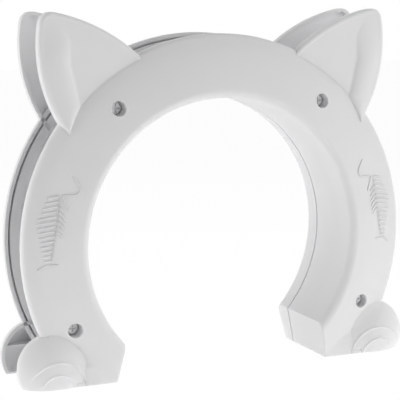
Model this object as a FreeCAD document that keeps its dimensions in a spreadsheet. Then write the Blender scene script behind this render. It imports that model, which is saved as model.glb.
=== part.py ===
import FreeCAD, Part
import Sketcher
import math
import os

# An arched cat pass for the foot of a door: two moulded halves, four screws and four sleeve nuts.
# Millimetres. X runs across the door, Y through it towards the rear half, Z up from the floor.
# The origin is on the floor, midway between the feet and midway between the halves.
# A depth is measured from a half's door plane, outwards to its face.

SIZES = {
    "passage_radius": 95,
    "ring_width": 42,
    "centre_rise": 88,
    "foot_flare": 4.9,
    "foot_end_height": 25.3,
    "half_depth": 16,
    "door_gap": 37,
    "shell_wall": 2.5,
    "sole_wall": 3,
    "inner_rounding": 5,
    "corner_rounding": 2,
    "crown_edge_depth": 6.4,
    "crown_bulge": 0.9,
    "sleeve_wall": 2.3,
    "sleeve_clearance": 0.35,
    "sleeve_seam": 2,
    "sleeve_end_gap": 2.5,
    "step_depth": 3,
    "rim_groove": 1.4,
    "land_width": 6,
    "rib_thickness": 1.6,
    "rib_setback": 3,
    "rib_angle": 20,
    "ear_depth": 6.8,
    "ear_rounding": 1.8,
    "ear_reach": 57.85,
    "ear_tip_angle": 38.16,
    "ear_tip_rounding": 7.5,
    "ear_side_bulge": 7.2,
    "ear_top_bulge": 6.2,
    "ear_foot_angle": 53.6,
    "ear_foot_sink": 0.45,
    "ear_brow_angle": 23.51,
    "ear_brow_sink": 5.9,
    "lobe_radius": 24,
    "lobe_height": 9.6,
    "lobe_lean": 8,
    "lobe_fall": 2.1,
    "lobe_inset": 7.6,
    "apron_inset": 8,
    "apron_drop": 8,
    "apron_radius": 20,
    "apron_height": 12.4,
    "apron_slope": 20,
    "paw_radius": 23.8,
    "paw_reach": 12.3,
    "paw_height": 11.5,
    "paw_skirt": 4,
    "shelf_height": 17,
    "toe_height": 1.5,
    "toe_radius": 20.4,
    "toe_inner_radius": 12.2,
    "toe_line": 1.3,
    "relief_height": 1,
    "screw_inset": 21.3,
    "screw_upper_angle": 38.8,
    "screw_lower_height": 37.4,
    "boss_wall": 2,
    "seat_floor": 2.5,
    "shank": 4,
    "shank_length": 30,
    "shank_clearance": 0.3,
    "head_diameter": 8,
    "head_height": 2.8,
    "head_rounding": 1.2,
    "head_clearance": 0.75,
    "slot_width": 1.1,
    "slot_length": 5,
    "slot_depth": 1.5,
    "barrel": 6,
    "barrel_length": 30,
    "barrel_clearance": 0.2,
    "barrel_bottom": 3,
    "thread_clearance": 0.05,
    "bone_angle": 71.9,
    "bone_inset": 23.9,
    "bone_length": 41,
    "bone_lean": 6.5,
    "bone_line": 1.3,
    "bone_pitch": 2.45,
    "bone_slant": 10,
    "bone_widest": 13.5,
    "bone_first": 7.8,
    "bone_last": 5,
}

os.makedirs("parts", exist_ok=True)
doc = FreeCAD.newDocument("cat_pass")
sheet = doc.addObject("Spreadsheet::Sheet", "sizes")
for row, (alias, number) in enumerate(SIZES.items(), start=1):
    sheet.set("A%d" % row, str(number))
    sheet.setAlias("A%d" % row, alias)
doc.recompute()

FACING = FreeCAD.Rotation(FreeCAD.Vector(1, 0, 0), 90)
LATHE = FreeCAD.Rotation(FreeCAD.Vector(1, 0, 0), 180)
ACROSS = FreeCAD.Vector(1, 0, 0)
THROUGH = FreeCAD.Vector(0, 1, 0)
OVERRUN = 1
DOOR_PLANE = "-sizes.door_gap / 2"
PAST_FACE = "sizes.half_depth + %g" % OVERRUN
RING_RADIUS = "(sizes.passage_radius + sizes.ring_width)"
FOOT_EDGE = "sqrt(%s ^ 2 - sizes.centre_rise ^ 2)" % RING_RADIUS
PAW_X = "(%s + sizes.paw_reach)" % FOOT_EDGE
COUNTERBORE = "(sizes.head_diameter / 2 + sizes.head_clearance)"


def value(expression):
    """The number that an expression of the sheet stands for."""
    found = sheet.evalExpression(expression)
    return float(getattr(found, "Value", found))


def bind(thing, **expressions):
    for name, expression in expressions.items():
        thing.setExpression(name.replace("__", "."), expression)
    return thing


def polar(radius, angle):
    """A place at a radius about the ring's centre, at an angle from the top."""
    return "(%s * sin(%s))" % (radius, angle), "(sizes.centre_rise + %s * cos(%s))" % (radius, angle)


def bulged(start, end, bulge):
    """The middle of a line between two places, moved aside by a bulge."""
    run = "(%s - %s)" % (end[0], start[0])
    rise = "(%s - %s)" % (end[1], start[1])
    length = "sqrt(%s ^ 2 + %s ^ 2)" % (run, rise)
    return ("((%s + %s) / 2 + %s * %s / %s)" % (start[0], end[0], bulge, rise, length),
            "((%s + %s) / 2 - %s * %s / %s)" % (start[1], end[1], bulge, run, length))


# Sketches

def fix_point(sketch, piece, end, place):
    """Ties one point of a sketch to two expressions."""
    for kind, expression in zip(("DistanceX", "DistanceY"), place):
        index = sketch.addConstraint(Sketcher.Constraint(kind, -1, 1, piece, end, value(expression)))
        sketch.setExpression("Constraints[%d]" % index, expression)


def outline(name, start, steps, rotation, x="0", z="0"):
    """A closed sketch: a step is a line to a place, or an arc to a place by way of another."""
    sketch = doc.addObject("Sketcher::SketchObject", name)
    sketch.Placement.Rotation = rotation
    bind(sketch, Placement__Base__x=x, Placement__Base__y=DOOR_PLANE, Placement__Base__z=z)
    ends = []
    here = start
    for step in steps:
        there = step[-2:]
        first = FreeCAD.Vector(value(here[0]), value(here[1]), 0)
        last = FreeCAD.Vector(value(there[0]), value(there[1]), 0)
        if len(step) == 2:
            piece = sketch.addGeometry(Part.LineSegment(first, last))
            ends.append((piece, 1, 2))
        else:
            middle = FreeCAD.Vector(value(step[0]), value(step[1]), 0)
            piece = sketch.addGeometry(Part.Arc(first, middle, last))
            forward = sketch.getPoint(piece, 1).distanceToPoint(first) < 1e-4
            ends.append((piece, 1, 2) if forward else (piece, 2, 1))
            mark = sketch.addGeometry(Part.Point(middle), True)
            fix_point(sketch, mark, 1, step[:2])
            sketch.addConstraint(Sketcher.Constraint("PointOnObject", mark, 1, piece))
        fix_point(sketch, piece, ends[-1][2], there)
        here = there
    for before, after in zip(ends, ends[1:] + ends[:1]):
        sketch.addConstraint(Sketcher.Constraint("Coincident", before[0], before[2], after[0], after[1]))
    return sketch


# Solids

def extrude(name, sketch, low, high):
    """Material between two depths, in the shape of a sketch that faces forwards."""
    solid = doc.addObject("Part::Extrusion", name)
    solid.Base = sketch
    solid.DirMode = "Normal"
    solid.Solid = True
    return bind(solid, LengthFwd=high, LengthRev="-(%s)" % low)


def turn(name, sketch, x="0", z="0"):
    """A sketch of radius and depth, turned about a line through the door."""
    solid = doc.addObject("Part::Revolution", name)
    solid.Source = sketch
    solid.Axis = THROUGH
    solid.Solid = True
    return bind(solid, Base__x=x, Base__z=z)


def rod(name, radius, low, high, x, z):
    """A cylinder between two depths of the front half."""
    solid = doc.addObject("Part::Cylinder", name)
    solid.Placement.Rotation = FACING
    bind(solid, Radius=radius, Height="(%s) - (%s)" % (high, low))
    return bind(solid, Placement__Base__x=x, Placement__Base__y="%s - (%s)" % (DOOR_PLANE, low),
                Placement__Base__z=z)


def block(name, length, width, height, x, y, z):
    solid = doc.addObject("Part::Box", name)
    bind(solid, Length=length, Width=width, Height=height)
    return bind(solid, Placement__Base__x=x, Placement__Base__y=y, Placement__Base__z=z)


def ground(name, top="0"):
    """Everything below a height, wider than the whole pass."""
    reach = "2 * %s" % RING_RADIUS
    return block(name, "2 * " + reach, "2 * " + reach, reach, "-" + reach, "-" + reach,
                 "%s - %s" % (top, reach))


def join(name, pieces):
    union = doc.addObject("Part::MultiFuse", name)
    union.Shapes = pieces
    return union


def cut(name, base, tool):
    rest = doc.addObject("Part::Cut", name)
    rest.Base = base
    rest.Tool = tool
    return rest


def common(name, base, tool):
    shared = doc.addObject("Part::Common", name)
    shared.Base = base
    shared.Tool = tool
    return shared


def mirror(name, source, normal):
    image = doc.addObject("Part::Mirroring", name)
    image.Source = source
    image.Normal = normal
    return image


def both_sides(name, source):
    """A left-hand solid with its mirror image on the right."""
    return join(name, [source, mirror(name + "_right", source, ACROSS)])


def rounded_edges(name, base, radius, chosen):
    """Rounds the edges of a solid whose points all pass a test."""
    doc.recompute()
    edges = [number for number, edge in enumerate(base.Shape.Edges, start=1)
             if all(chosen(vertex) for vertex in edge.Vertexes)]
    rounded = doc.addObject("Part::Fillet", name)
    rounded.Base = base
    rounded.Edges = [(number, value(radius), value(radius)) for number in edges]
    return rounded


# Ring

PASSAGE_DROP = 5
CORNER_SHARE = 0.35


def passage_outline(name, offset):
    """The arch, its slanted foot ends and a run below the floor, grown by an offset."""
    radius = "(sizes.passage_radius + %s)" % offset
    drop = "(sizes.centre_rise - sizes.foot_end_height)"
    bend = "sqrt(%s ^ 2 - %s ^ 2)" % (radius, drop)
    foot = "(sqrt(sizes.passage_radius ^ 2 - %s ^ 2) + sizes.foot_flare + %s)" % (drop, offset)
    low = "-%g" % PASSAGE_DROP
    return outline(name, ("-" + foot, low), [
        ("-" + foot, "0"),
        ("-" + bend, "sizes.foot_end_height"),
        ("0", "sizes.centre_rise + " + radius, bend, "sizes.foot_end_height"),
        (foot, "0"),
        (foot, low),
        ("-" + foot, low),
    ], FACING)


def crown_section(name, inset, rounded):
    """Radius and depth of the crowned ring, or of a like shape inset from its face and skirt."""
    face = "(sizes.half_depth - %s)" % inset
    edge = "(sizes.crown_edge_depth - %s)" % inset
    outer = "(%s - %s)" % (RING_RADIUS, inset)
    land = "(sizes.passage_radius + sizes.inner_rounding)"
    brink = "(%s - sizes.corner_rounding)" % outer
    share = "%g * sizes.corner_rounding" % CORNER_SHARE
    steps = [
        ("sizes.passage_radius", "%s - sizes.inner_rounding" % face),
        ("%s - sizes.inner_rounding * cos(45)" % land, "%s - sizes.inner_rounding * (1 - sin(45))" % face,
         land, face),
    ]
    if not rounded:
        steps = [("sizes.passage_radius", face), (land, face)]
    steps += [
        bulged((land, face), (brink, edge), "-sizes.crown_bulge") + (brink, edge),
        ("%s - %s" % (outer, share), "%s - %s" % (edge, share), outer, "%s - sizes.corner_rounding" % edge),
        (outer, "0"),
        ("sizes.passage_radius", "0"),
    ]
    return outline(name, ("sizes.passage_radius", "0"), steps, LATHE, z="sizes.centre_rise")


def ring(name, inset, rounded=False):
    section = crown_section(name + "_section", inset, rounded)
    return turn(name, section, z="sizes.centre_rise")


# Ears

EAR_TIP = polar("(%s + sizes.ear_reach)" % RING_RADIUS, "sizes.ear_tip_angle")
EAR_FOOT = polar("(%s - sizes.ear_foot_sink)" % RING_RADIUS, "sizes.ear_foot_angle")
EAR_BROW = polar("(%s - sizes.ear_brow_sink)" % RING_RADIUS, "sizes.ear_brow_angle")
TIP_MITRE = (1.05, 1.15)
BROW_MITRE = (0.46, 0.89)
FOOT_ROOT = (5, 6.5)
BROW_ROOT = (8, 20)


def drawn_in(place, mitre, inset):
    """A place of the ear's outline, left of the middle, moved inwards and down by shares of an inset."""
    return "-(%s + %g * %s)" % (place[0], mitre[0], inset), "%s - %g * %s" % (place[1], mitre[1], inset)


def ear_outline(name, inset):
    """The ear's shape, with a sharp tip, drawn in from its edge by an inset."""
    foot = drawn_in(EAR_FOOT, (-1, 0), inset)
    tip = drawn_in(EAR_TIP, (-TIP_MITRE[0], TIP_MITRE[1]), inset)
    brow = drawn_in(EAR_BROW, BROW_MITRE, inset)
    side = drawn_in(bulged(EAR_FOOT, EAR_TIP, "sizes.ear_side_bulge"), (-1, 0), inset)
    top = drawn_in(bulged(EAR_TIP, EAR_BROW, "sizes.ear_top_bulge"), BROW_MITRE, inset)
    root = ("%s + %g" % (foot[0], FOOT_ROOT[0]), "%s - %g" % (foot[1], FOOT_ROOT[1]))
    brow_root = ("-(%s + %g)" % (EAR_BROW[0], BROW_ROOT[0]), "%s - %g" % (EAR_BROW[1], BROW_ROOT[1]))
    return outline(name, root, [foot, side + tip, top + brow, brow_root, root], FACING)


def ear_block(name, inset, low, high):
    """The ear between two depths, with its tip rounded."""
    sharp = extrude(name + "_sharp", ear_outline(name + "_outline", inset), low, high)
    tip = value("%s - 1.2 * %s" % (EAR_TIP[1], inset)) - OVERRUN / 2
    return rounded_edges(name, sharp, "sizes.ear_tip_rounding - %s" % inset, lambda vertex: vertex.Z > tip)


def ear():
    """A flat plate with a rounded edge, and a convex lobe along its outer side that fades upwards."""
    plate = ear_block("ear_plate", "0", "0", "sizes.ear_depth")
    front = value(DOOR_PLANE) - value("sizes.ear_depth")
    foot = value(EAR_FOOT[1]) - OVERRUN
    brow = value(EAR_BROW[1]) - OVERRUN
    inner = -value(EAR_BROW[0]) - BROW_ROOT[0] - OVERRUN
    rounded = rounded_edges("ear_rounded", plate, "sizes.ear_rounding", lambda vertex: (
        abs(vertex.Y - front) < 1e-6 and vertex.Z > foot and (vertex.Z > brow or vertex.X < inner)))
    lobe = doc.addObject("Part::Cylinder", "ear_lobe_rod")
    bind(lobe, Radius="sizes.lobe_radius", Height=EAR_TIP[1],
         Placement__Base__x="-(%s - sizes.lobe_inset)" % EAR_FOOT[0],
         Placement__Base__y="%s - sizes.lobe_height + sizes.lobe_radius" % DOOR_PLANE,
         Placement__Base__z="%s - %g" % (EAR_FOOT[1], FOOT_ROOT[1]))
    lobe.Placement.Rotation = FreeCAD.Rotation(THROUGH, -value("sizes.lobe_lean")).multiply(
        FreeCAD.Rotation(ACROSS, -value("sizes.lobe_fall")))
    room = ear_block("ear_room", "sizes.ear_rounding", "1", "sizes.lobe_height")
    raised = common("ear_lobe", room, lobe)
    cavity = ear_block("ear_cavity", "sizes.shell_wall", "-1", "sizes.ear_depth - sizes.shell_wall")
    return join("ear", [rounded, raised]), cavity


# Feet and paws

PAW_SHOULDER = (0.41, 0.89)
PAW_FLANK = (0.76, 0.55)
PAW_FALL = (0.93, 0.24)
TOE_START = 50
TOE_SPAN = 110


def apron(name, inset):
    """A low flat cone, kept within the ring, that levels the crown's fall beside a foot's end."""
    height = "(sizes.apron_height - %s)" % inset
    cone = doc.addObject("Part::Cone", name + "_cone")
    cone.Placement.Rotation = FACING
    bind(cone, Radius2="sizes.apron_radius", Height=height,
         Radius1="sizes.apron_radius + %s / tan(sizes.apron_slope)" % height)
    bind(cone, Placement__Base__x="-(%s - sizes.apron_inset)" % FOOT_EDGE,
         Placement__Base__y=DOOR_PLANE, Placement__Base__z="-sizes.apron_drop")
    room = rod(name + "_room", "%s - %s" % (RING_RADIUS, inset), "0", "sizes.half_depth", "0",
               "sizes.centre_rise")
    return common(name, cone, room)


def paw_shape(name, inset, low):
    """A round pad whose face is a low dome."""
    radius = "(sizes.paw_radius - %s)" % inset
    top = "(sizes.half_depth - %s)" % inset

    def on_dome(share):
        return ("%s * %g" % (radius, share[0]),
                "sizes.paw_skirt + (%s - sizes.paw_skirt) * %g" % (top, share[1]))

    section = outline(name + "_section", ("0", low), [
        ("0", top),
        on_dome(PAW_SHOULDER) + on_dome(PAW_FLANK),
        on_dome(PAW_FALL) + (radius, "sizes.paw_skirt"),
        (radius, low),
        ("0", low),
    ], LATHE, x="-" + PAW_X, z="sizes.paw_height")
    return turn(name, section, x="-" + PAW_X, z="sizes.paw_height")


def toe_lines():
    """Two concentric arcs that stand out of a paw's face by the relief."""
    arcs = []
    for name, radius in (("toe_outer", "sizes.toe_radius"), ("toe_inner", "sizes.toe_inner_radius")):
        disc = rod(name + "_disc", radius, "sizes.paw_skirt", PAST_FACE, "-" + PAW_X, "sizes.toe_height")
        inside = rod(name + "_inside", "%s - sizes.toe_line" % radius, "sizes.paw_skirt", PAST_FACE,
                     "-" + PAW_X, "sizes.toe_height")
        for piece in (disc, inside):
            piece.Angle = TOE_SPAN
            piece.Placement.Rotation = FACING.multiply(FreeCAD.Rotation(FreeCAD.Vector(0, 0, 1), TOE_START))
        arcs.append(cut(name, disc, inside))
    ceiling = paw_shape("paw_ceiling", "-sizes.relief_height", "0")
    return common("toe_lines", join("toe_arcs", arcs), ceiling)


# Screw places

def screw_places():
    """The names and places of the four screws, as expressions."""
    circle = "(sizes.passage_radius + sizes.screw_inset)"
    fall = "(sizes.centre_rise - sizes.screw_lower_height)"
    upper = polar(circle, "sizes.screw_upper_angle")
    lower = ("sqrt(%s ^ 2 - %s ^ 2)" % (circle, fall), "sizes.screw_lower_height")
    places = {}
    for height, (x, z) in (("upper", upper), ("lower", lower)):
        places[height + "_left"] = ("-" + x, z)
        places[height + "_right"] = (x, z)
    return places


SCREWS = screw_places()


def rods(name, radius, low, high):
    return join(name, [rod("%s_%s" % (name, place), radius, low, high, x, z)
                       for place, (x, z) in SCREWS.items()])


RIB_STEPS = (-5, -4, -3, -1, 0, 1, 3, 4, 5)


def ribs():
    """Radial walls inside a half, set back from the door plane, clear of the screws."""
    walls = []
    for step in RIB_STEPS:
        wall = block("rib_%d" % (step - RIB_STEPS[0]), "sizes.rib_thickness", "sizes.half_depth",
                     "sizes.ring_width + %g" % (2 * OVERRUN), "0",
                     DOOR_PLANE + " - sizes.rib_setback - sizes.half_depth", "0")
        turned = FreeCAD.Rotation(THROUGH, step * value("sizes.rib_angle"))
        start = FreeCAD.Vector(-value("sizes.rib_thickness") / 2, 0, value("sizes.passage_radius") - OVERRUN)
        base = FreeCAD.Vector(0, 0, value("sizes.centre_rise")) + turned.multVec(start)
        wall.Placement.Rotation = turned
        bind(wall, Placement__Base__x=str(base.x), Placement__Base__z=str(base.z))
        walls.append(wall)
    return join("ribs", walls)


def round_wall(name, outer, thickness):
    """A wall about the ring's centre that crosses a half's whole depth."""
    outside = rod(name + "_outside", outer, "0", "sizes.half_depth", "0", "sizes.centre_rise")
    inside = rod(name + "_inside", "%s - %s" % (outer, thickness), "-1", PAST_FACE, "0",
                 "sizes.centre_rise")
    return cut(name, outside, inside)


def shelf():
    """A level wall across the hollow of both paws, set back as the ribs are."""
    return block("shelf", "4 * " + RING_RADIUS, "sizes.half_depth", "sizes.rib_thickness",
                 "-2 * " + RING_RADIUS, DOOR_PLANE + " - sizes.rib_setback - sizes.half_depth",
                 "sizes.shelf_height")


# Fish bones on the front's legs

BONE_WIDEST_AT = 0.35
SHORT_RIBS_FROM = 0.1
SHORT_RIBS_TO = 0.6
SHORT_RIB_RUN = (0.45, -0.5)
THIN_LINE = 0.8
BONE_TAIL = ((1.3, 0.5), (10.6, 0.3), (13.2, 3.4), (11.6, 7.2), (8.3, 12.7))
BONE_FIN = ((1.3, 0.5), (4.9, -9.9))
BONE_HEAD = ((-9, -6.4), (-3.5, -3), (4.5, -3))


def stroke(start, end, width):
    """A thin upright-sided bar that crosses the whole depth of the front half, from point to point."""
    run = math.hypot(end[0] - start[0], end[1] - start[1])
    bar = Part.makeBox(run, value("sizes.half_depth"), width)
    bar.translate(FreeCAD.Vector(0, value(DOOR_PLANE) - value("sizes.half_depth"), -width / 2))
    bar.rotate(FreeCAD.Vector(), FreeCAD.Vector(0, -1, 0),
               math.degrees(math.atan2(end[1] - start[1], end[0] - start[0])))
    bar.translate(FreeCAD.Vector(start[0], 0, start[1]))
    return bar


def rib_reach(share):
    """Length of a bone rib: it grows down to the widest, then shrinks to the last."""
    widest, first, last = (value("sizes.bone_" + word) for word in ("widest", "first", "last"))
    if share < BONE_WIDEST_AT:
        return first + (widest - first) * share / BONE_WIDEST_AT
    return widest + (last - widest) * (share - BONE_WIDEST_AT) / (1 - BONE_WIDEST_AT)


def fish_bone():
    """Raised ribs on both sides of a leaning spine, a tail line above and a head line below."""
    place = polar("(sizes.passage_radius + sizes.bone_inset)", "sizes.bone_angle")
    x = -value(place[0])
    top = value(place[1])
    length = value("sizes.bone_length")
    lean = value("sizes.bone_lean")
    line = value("sizes.bone_line")
    slant = math.tan(math.radians(value("sizes.bone_slant")))
    bottom = (x - lean, top - length)
    strokes = [stroke((x, top), bottom, line)]
    count = int(length / value("sizes.bone_pitch"))
    for number in range(count):
        share = number / (count - 1)
        root = (x - lean * share, top - length * share)
        reach = rib_reach(share)
        strokes.append(stroke(root, (root[0] - reach, root[1] - reach * slant), line))
        if SHORT_RIBS_FROM < share < SHORT_RIBS_TO and number % 2:
            end = (root[0] + reach * SHORT_RIB_RUN[0], root[1] + reach * SHORT_RIB_RUN[1])
            strokes.append(stroke(root, end, line))
    for origin, steps in (((x, top), BONE_TAIL), ((x, top), BONE_FIN), (bottom, BONE_HEAD)):
        route = [(origin[0] + across, origin[1] + up) for across, up in steps]
        strokes += [stroke(start, end, line * THIN_LINE) for start, end in zip(route, route[1:])]
    bones = doc.addObject("Part::Feature", "bone_strokes")
    bones.Shape = strokes[0].multiFuse(strokes[1:])
    raised = common("bone_bars", bones, ring("bone_ceiling", "-sizes.relief_height"))
    return cut("fish_bone", raised, ring("bone_floor", "sizes.shell_wall / 2"))


# Halves

def half_shell():
    """What the two halves share, made as the front one: ring, ears, paws, ribs and screw bosses."""
    ear_solid, ear_cavity = ear()
    paw = join("paw", [paw_shape("paw_pad", "0", "0"), toe_lines()])
    full = join("full_half", [ring("crown", "0", rounded=True), both_sides("ears", ear_solid),
                              both_sides("aprons", apron("apron", "0")), both_sides("paws", paw)])
    passage = extrude("passage", passage_outline("passage_outline", "0"), "-1", PAST_FACE)
    outside = cut("outside", cut("standing_half", full, ground("ground")), passage)
    hollow = join("full_hollow", [
        ring("crown_hollow", "sizes.shell_wall"),
        both_sides("ear_hollows", ear_cavity),
        both_sides("apron_hollows", apron("apron_hollow", "sizes.shell_wall")),
        both_sides("paw_hollows", paw_shape("paw_hollow", "sizes.shell_wall", "-1")),
    ])
    lining = extrude("lining", passage_outline("lining_outline", "sizes.sleeve_wall"), "-2", PAST_FACE)
    bosses = rods("bosses", "%s + sizes.boss_wall" % COUNTERBORE, "0", "sizes.half_depth")
    groove = "%s - sizes.shell_wall - sizes.rim_groove" % RING_RADIUS
    walls = [round_wall("rim_wall", RING_RADIUS, "sizes.shell_wall"),
             round_wall("land", groove, "sizes.land_width"), shelf(), ribs()]
    kept = join("kept", [ground("sole", "sizes.sole_wall"), lining, bosses, *walls])
    return cut("half_shell", outside, cut("hollow", hollow, kept))


def band(name, inner, outer, low, high):
    """A wall that follows the passage between two offsets and two depths, standing on the floor."""
    outside = extrude(name + "_outside", passage_outline(name + "_outer", outer), low, high)
    inside = extrude(name + "_inside", passage_outline(name + "_inner", inner), "%s - 1" % low,
                     "%s + 1" % high)
    return cut(name, cut(name + "_band", outside, inside), ground(name + "_ground"))


def screw_holes(name, radius):
    """The wells for the screw heads with narrower holes through their floors."""
    wells = rods(name + "_wells", COUNTERBORE, "sizes.seat_floor", PAST_FACE)
    holes = rods(name + "_holes", radius, "-1", "sizes.seat_floor + 1")
    return join(name, [wells, holes])


def front_frame(shell):
    """The front half, with the sleeve that lines the door's thickness."""
    sleeve = band("front_sleeve", "0", "sizes.sleeve_wall", "sizes.sleeve_seam - sizes.door_gap", "1")
    body = join("front_body", [shell, sleeve, both_sides("fish_bones", fish_bone())])
    return cut("front_frame", body, screw_holes("front_screws", "sizes.shank / 2 + sizes.shank_clearance"))


def rear_frame(shell):
    """The rear half: the front's mirror twin, with a wider sleeve that goes round the front's."""
    inner = "(sizes.sleeve_wall + sizes.sleeve_clearance)"
    outer = "(%s + sizes.sleeve_wall)" % inner
    reach = "(sizes.sleeve_end_gap - sizes.door_gap)"
    sleeve = band("rear_sleeve", inner, outer, reach, "sizes.step_depth")
    step = band("rear_step", "0", outer, "0", "sizes.step_depth")
    body = join("rear_body", [shell, sleeve, step])
    holes = screw_holes("rear_screws", "sizes.barrel / 2 + sizes.barrel_clearance")
    return mirror("rear_frame", cut("rear_unturned", body, holes), THROUGH)


# Fixings

def head(name, x, z):
    """A pan head with a cross recess, seated in its well."""
    top = "sizes.seat_floor + sizes.head_height"
    pan = rod(name + "_pan", "sizes.head_diameter / 2", "sizes.seat_floor", top, x, z)
    plane = value("%s - (%s)" % (DOOR_PLANE, top))
    rounded = rounded_edges(name + "_rounded", pan, "sizes.head_rounding",
                            lambda vertex: abs(vertex.Y - plane) < 1e-6)
    y = "%s - (%s) - 1" % (DOOR_PLANE, top)
    slots = [
        block(name + "_slot_wide", "sizes.slot_length", "sizes.slot_depth + 1", "sizes.slot_width",
              "%s - sizes.slot_length / 2" % x, y, "%s - sizes.slot_width / 2" % z),
        block(name + "_slot_high", "sizes.slot_width", "sizes.slot_depth + 1", "sizes.slot_length",
              "%s - sizes.slot_width / 2" % x, y, "%s - sizes.slot_length / 2" % z),
    ]
    return cut(name, rounded, join(name + "_slots", slots))


def screw(name, x, z):
    shank = rod(name + "_shank", "sizes.shank / 2", "sizes.seat_floor - sizes.shank_length",
                "sizes.seat_floor + 0.5", x, z)
    return join(name, [head(name + "_head", x, z), shank])


def nut(name, x, z):
    """A sleeve nut: a pan head on the rear half, whose barrel takes the screw."""
    barrel = rod(name + "_barrel", "sizes.barrel / 2", "sizes.seat_floor - sizes.barrel_length",
                 "sizes.seat_floor + 0.5", x, z)
    solid = join(name + "_solid", [head(name + "_head", x, z), barrel])
    bore = rod(name + "_bore", "sizes.shank / 2 + sizes.thread_clearance",
               "sizes.seat_floor - sizes.barrel_length - 1", "sizes.seat_floor - sizes.barrel_bottom", x, z)
    return mirror(name, cut(name + "_bored", solid, bore), THROUGH)


shell = half_shell()
nodes = [front_frame(shell), rear_frame(shell)]
for place, (x, z) in SCREWS.items():
    nodes.append(screw("screw_" + place, x, z))
    nodes.append(nut("nut_" + place, x, z))

doc.recompute()
for thing in doc.Objects:
    if "Invalid" in thing.State or "Error" in thing.State:
        raise RuntimeError("%s failed: %s" % (thing.Label, thing.State))
for node in nodes:
    if node.Shape.isNull() or not node.Shape.isValid():
        raise RuntimeError("%s has no valid shape" % node.Label)
for node in nodes:
    node.Shape.exportStep("parts/%s.step" % node.Label)
    print(node.Label, len(node.Shape.Solids), round(node.Shape.Volume))
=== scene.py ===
import bmesh
import bpy
import math
import numpy as np
from mathutils import Matrix, Vector


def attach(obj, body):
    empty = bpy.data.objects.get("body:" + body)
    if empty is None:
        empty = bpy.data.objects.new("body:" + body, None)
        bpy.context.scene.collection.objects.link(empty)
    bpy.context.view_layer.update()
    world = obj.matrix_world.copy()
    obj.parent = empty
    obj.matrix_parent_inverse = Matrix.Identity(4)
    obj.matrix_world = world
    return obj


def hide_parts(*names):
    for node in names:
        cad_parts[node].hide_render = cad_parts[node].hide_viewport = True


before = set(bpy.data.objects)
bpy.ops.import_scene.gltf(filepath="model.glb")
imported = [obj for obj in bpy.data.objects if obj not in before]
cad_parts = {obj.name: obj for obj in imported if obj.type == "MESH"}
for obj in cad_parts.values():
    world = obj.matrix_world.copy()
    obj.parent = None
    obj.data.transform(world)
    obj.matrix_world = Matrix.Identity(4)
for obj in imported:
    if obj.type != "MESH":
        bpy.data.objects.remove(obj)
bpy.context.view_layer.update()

# An arched cat pass of white moulded plastic. Every piece is a surface worked out on a grid.
# Shapes are worked out in X across, a depth outwards from a half's door plane, and Z up.
# The ring's centre line runs through the door at x = 0, a set rise above the floor.

bl_info = {
    "name": "Cat pass",
    "version": (1, 0, 0),
    "blender": (4, 5, 0),
    "location": "View3D > Sidebar > Cat pass",
    "description": "Builds the two moulded halves of an arched cat pass, and a studio round them",
    "category": "Add Mesh",
}

BODIES = {"front": "front_half", "rear": "rear_half"}
SIDES = {"front": -1, "rear": 1}
HANDS = {"left": -1, "right": 1}

# Surface grids
PLAIN_STEP = 0.0125                    # angle from row to row of the ring, away from the wells
ROUND_END = math.radians(119.5)        # angle from the top at which the feet start
FINE_ROWS = 16                         # rows and columns of a well's fine grid, each way from its centre
ROUND_FADE = 5                         # outermost rows of it, over which its circles turn square
SEAT_CIRCLE = 6                        # outermost circle on a well's flat seat
BOSS_CIRCLE = 10                       # outermost circle on a screw boss
NO_CIRCLE = 99                         # places away from any well

# Small sizes in metres
EDGE = 0.0003                          # bevel between skirt and rim
LAND_EDGE = 0.0002                     # bevel of the land, and the least depth of a hollow
SUNK = 0.0006                          # how far a raised line's root lies inside the face
APRON_BLEND = 0.0015                   # filling of the crease between crown and apron
PAW_BLEND = 0.008                      # filling of the crease between paw and ring
PAW_MERGE = (0.0005, 0.0050)           # distances inside the ring over which a paw joins its face
UNDER_FACE = 0.00006                   # a joined paw lies this much under the ring's face
BULGE_DROP = 0.001                     # an ear's widest place lies this much below its middle
RIDGE = (-0.0027, 0.0056)              # middle of an ear's top side, from its straight line
EAR_ROOT = (-0.0050, -0.0068)          # lower end of an ear's outline, from its foot
EAR_REACH = (0.1262, 0.1290)           # distances from the arch's centre where an ear's root lies
BEAD_PLACE, BEAD_WIDTH = 0.0020, 0.0007
LOBE_HEIGHTS = (0.1620, 0.1711, 0.1807, 0.1943, 0.2069, 0.2225, 0.2380)
LOBE_CREASE = (0.1050, 0.1010, 0.0967, 0.0999, 0.1030, 0.1026, 0.1120)
LOBE_FADE = (0.205, 0.2370)            # heights between which the lobe fades
TOE_FADE = (18, 34)                    # degrees above the floor at which the toe lines start, outside

# The fish bone's other lines, in millimetres out and up from the spine's upper end
BONE_LINES = (
    ((-1.3, 0.5), (-10.6, 0.3), (-13.2, 3.4), (-11.6, 7.2), (-8.3, 12.7)),
    ((-1.3, 0.5), (-4.9, -9.9)),
    ((15.5, -47.4), (10, -44), (2, -44)),
)
BONE_FAINT, BONE_HALF, BONE_FULL = 0.25, 0.6, 1.0

# Size, spot and target of each lamp
LAMPS = {
    "key": (1.1, (0.65, -0.80, 0.33), (0.1, 0, 0.12)),
    "fill": (0.7, (-1.0, 0.15, 0.3), (-0.1, 0, 0.12)),
}
FLOOR_REACH = 4.0
# Painted light: the floor's colour is pale near the object and darker far off, a painted falloff of the
# tent's light. Bounced light sees all of it and the camera sees it faintly.
FLOOR_NEAR, FLOOR_FAR = (0.95, 0.95, 0.95), (0.55, 0.55, 0.55)
FLOOR_FADE = (0.3, 1.2)                # distances between which the floor darkens


def length(name, default, description):
    """A size in metres."""
    return bpy.props.FloatProperty(name=name, default=default, description=description, unit="LENGTH",
                                   precision=5)


def angle(name, degrees, description):
    return bpy.props.FloatProperty(name=name, default=math.radians(degrees), description=description,
                                   subtype="ANGLE")


def number(name, default, description):
    return bpy.props.FloatProperty(name=name, default=default, description=description)


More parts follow.
